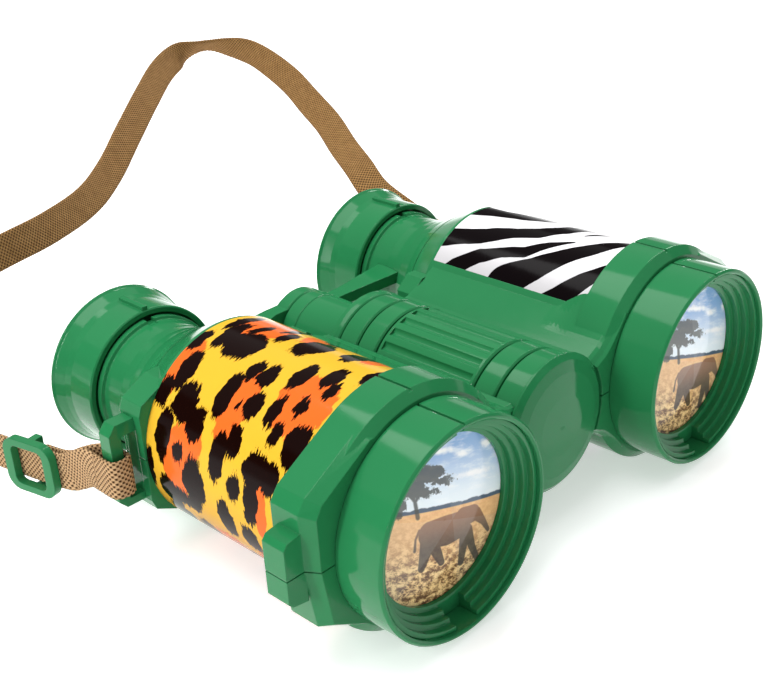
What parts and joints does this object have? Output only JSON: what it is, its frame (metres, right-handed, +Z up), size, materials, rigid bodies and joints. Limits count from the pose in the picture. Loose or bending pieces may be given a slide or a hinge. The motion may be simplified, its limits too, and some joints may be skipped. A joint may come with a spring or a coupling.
{
  "type": "toy binoculars",
  "caption": "Toy binoculars with folding centre hinge, fluted focus wheel, sliding eyepieces, animal-print wraps and a webbing neck strap.",
  "frame": {"origin": "on the table plane, at the middle of the box round the binoculars without the strap", "axes": "+X across the barrels towards the zebra barrel, +Y along the optical axes towards the eyepieces, +Z up"},
  "size_m": [0.2087, 0.2111, 0.0539],
  "materials": {
    "green_plastic": "satin gloss moulded plastic",
    "lens": "polished, over a picture of an open plain",
    "leopard_print": "printed gloss film",
    "zebra_print": "printed gloss film",
    "webbing": "plain woven webbing",
    "screw_steel": "bright zinc"
  },
  "bodies": {
    "left_barrel": {"left_upper_shell": "green_plastic", "left_lower_shell": "green_plastic", "left_hood": "green_plastic", "left_retaining_ring": "green_plastic", "left_objective_lens": "lens", "leopard_wrap": "leopard_print", "left_strap_lug": "green_plastic", "left_shell_screws": "screw_steel", "left_hinge_knuckles": "green_plastic", "front_hinge_tube": "green_plastic", "rear_hinge_tube": "green_plastic", "hinge_front_cap": "green_plastic", "hinge_rear_collar": "green_plastic", "neck_strap": "webbing", "left_strap_loop": "webbing"},
    "right_barrel": {"right_upper_shell": "green_plastic", "right_lower_shell": "green_plastic", "right_hood": "green_plastic", "right_retaining_ring": "green_plastic", "right_objective_lens": "lens", "zebra_wrap": "zebra_print", "right_strap_lug": "green_plastic", "right_shell_screws": "screw_steel", "right_hinge_knuckles": "green_plastic", "right_strap_loop": "webbing"},
    "focus_wheel": {"focus_wheel": "green_plastic", "focus_screw": "screw_steel"},
    "focus_carriage": {"focus_sleeve": "green_plastic", "focus_end_cap": "green_plastic"},
    "left_eyepiece": {"left_eyepiece_tube": "green_plastic", "left_focus_arm": "green_plastic", "left_eye_lens": "lens"},
    "right_eyepiece": {"right_eyepiece_tube": "green_plastic", "right_focus_arm": "green_plastic", "right_eye_lens": "lens"},
    "left_eyecup": {"left_eyecup": "green_plastic"},
    "right_eyecup": {"right_eyecup": "green_plastic"},
    "strap_buckle": {"strap_buckle": "green_plastic"}
  },
  "joints": [
    {"name": "barrel_fold", "type": "hinge", "parent": "left_barrel", "child": "right_barrel", "pos_m": [0, 0, 0.021], "axis": [0, 1, 0], "range_deg": [0, 70], "deforming": ["neck_strap"]},
    {"name": "focus_turn", "type": "hinge", "parent": "left_barrel", "child": "focus_wheel", "pos_m": [0, 0, 0.021], "axis": [0, 1, 0], "range_deg": [0, 270]},
    {"name": "carriage_slide", "type": "slide", "parent": "left_barrel", "child": "focus_carriage", "axis": [0, 1, 0], "range_m": [0, 0.003]},
    {"name": "left_eyepiece_slide", "type": "slide", "parent": "left_barrel", "child": "left_eyepiece", "axis": [0, 1, 0], "range_m": [0, 0.003]},
    {"name": "right_eyepiece_slide", "type": "slide", "parent": "right_barrel", "child": "right_eyepiece", "axis": [0, 1, 0], "range_m": [0, 0.003]},
    {"name": "left_eyecup_twist", "type": "hinge", "parent": "left_eyepiece", "child": "left_eyecup", "pos_m": [-0.03625, 0.04, 0.021], "axis": [0, 1, 0], "range_deg": [-45, 45]},
    {"name": "right_eyecup_twist", "type": "hinge", "parent": "right_eyepiece", "child": "right_eyecup", "pos_m": [0.03625, 0.04, 0.021], "axis": [0, 1, 0], "range_deg": [-45, 45]},
    {"name": "buckle_slide", "type": "slide", "parent": "left_barrel", "child": "strap_buckle", "axis": [-0.213, 0.977, 0], "range_m": [0, 0.006]}
  ],
  "couplings": [
    {"joint": "focus_turn", "follows": "carriage_slide", "rad_per_m": 1570.8},
    {"joint": "left_eyepiece_slide", "follows": "carriage_slide", "ratio": 1},
    {"joint": "right_eyepiece_slide", "follows": "carriage_slide", "ratio": 1}
  ]
}
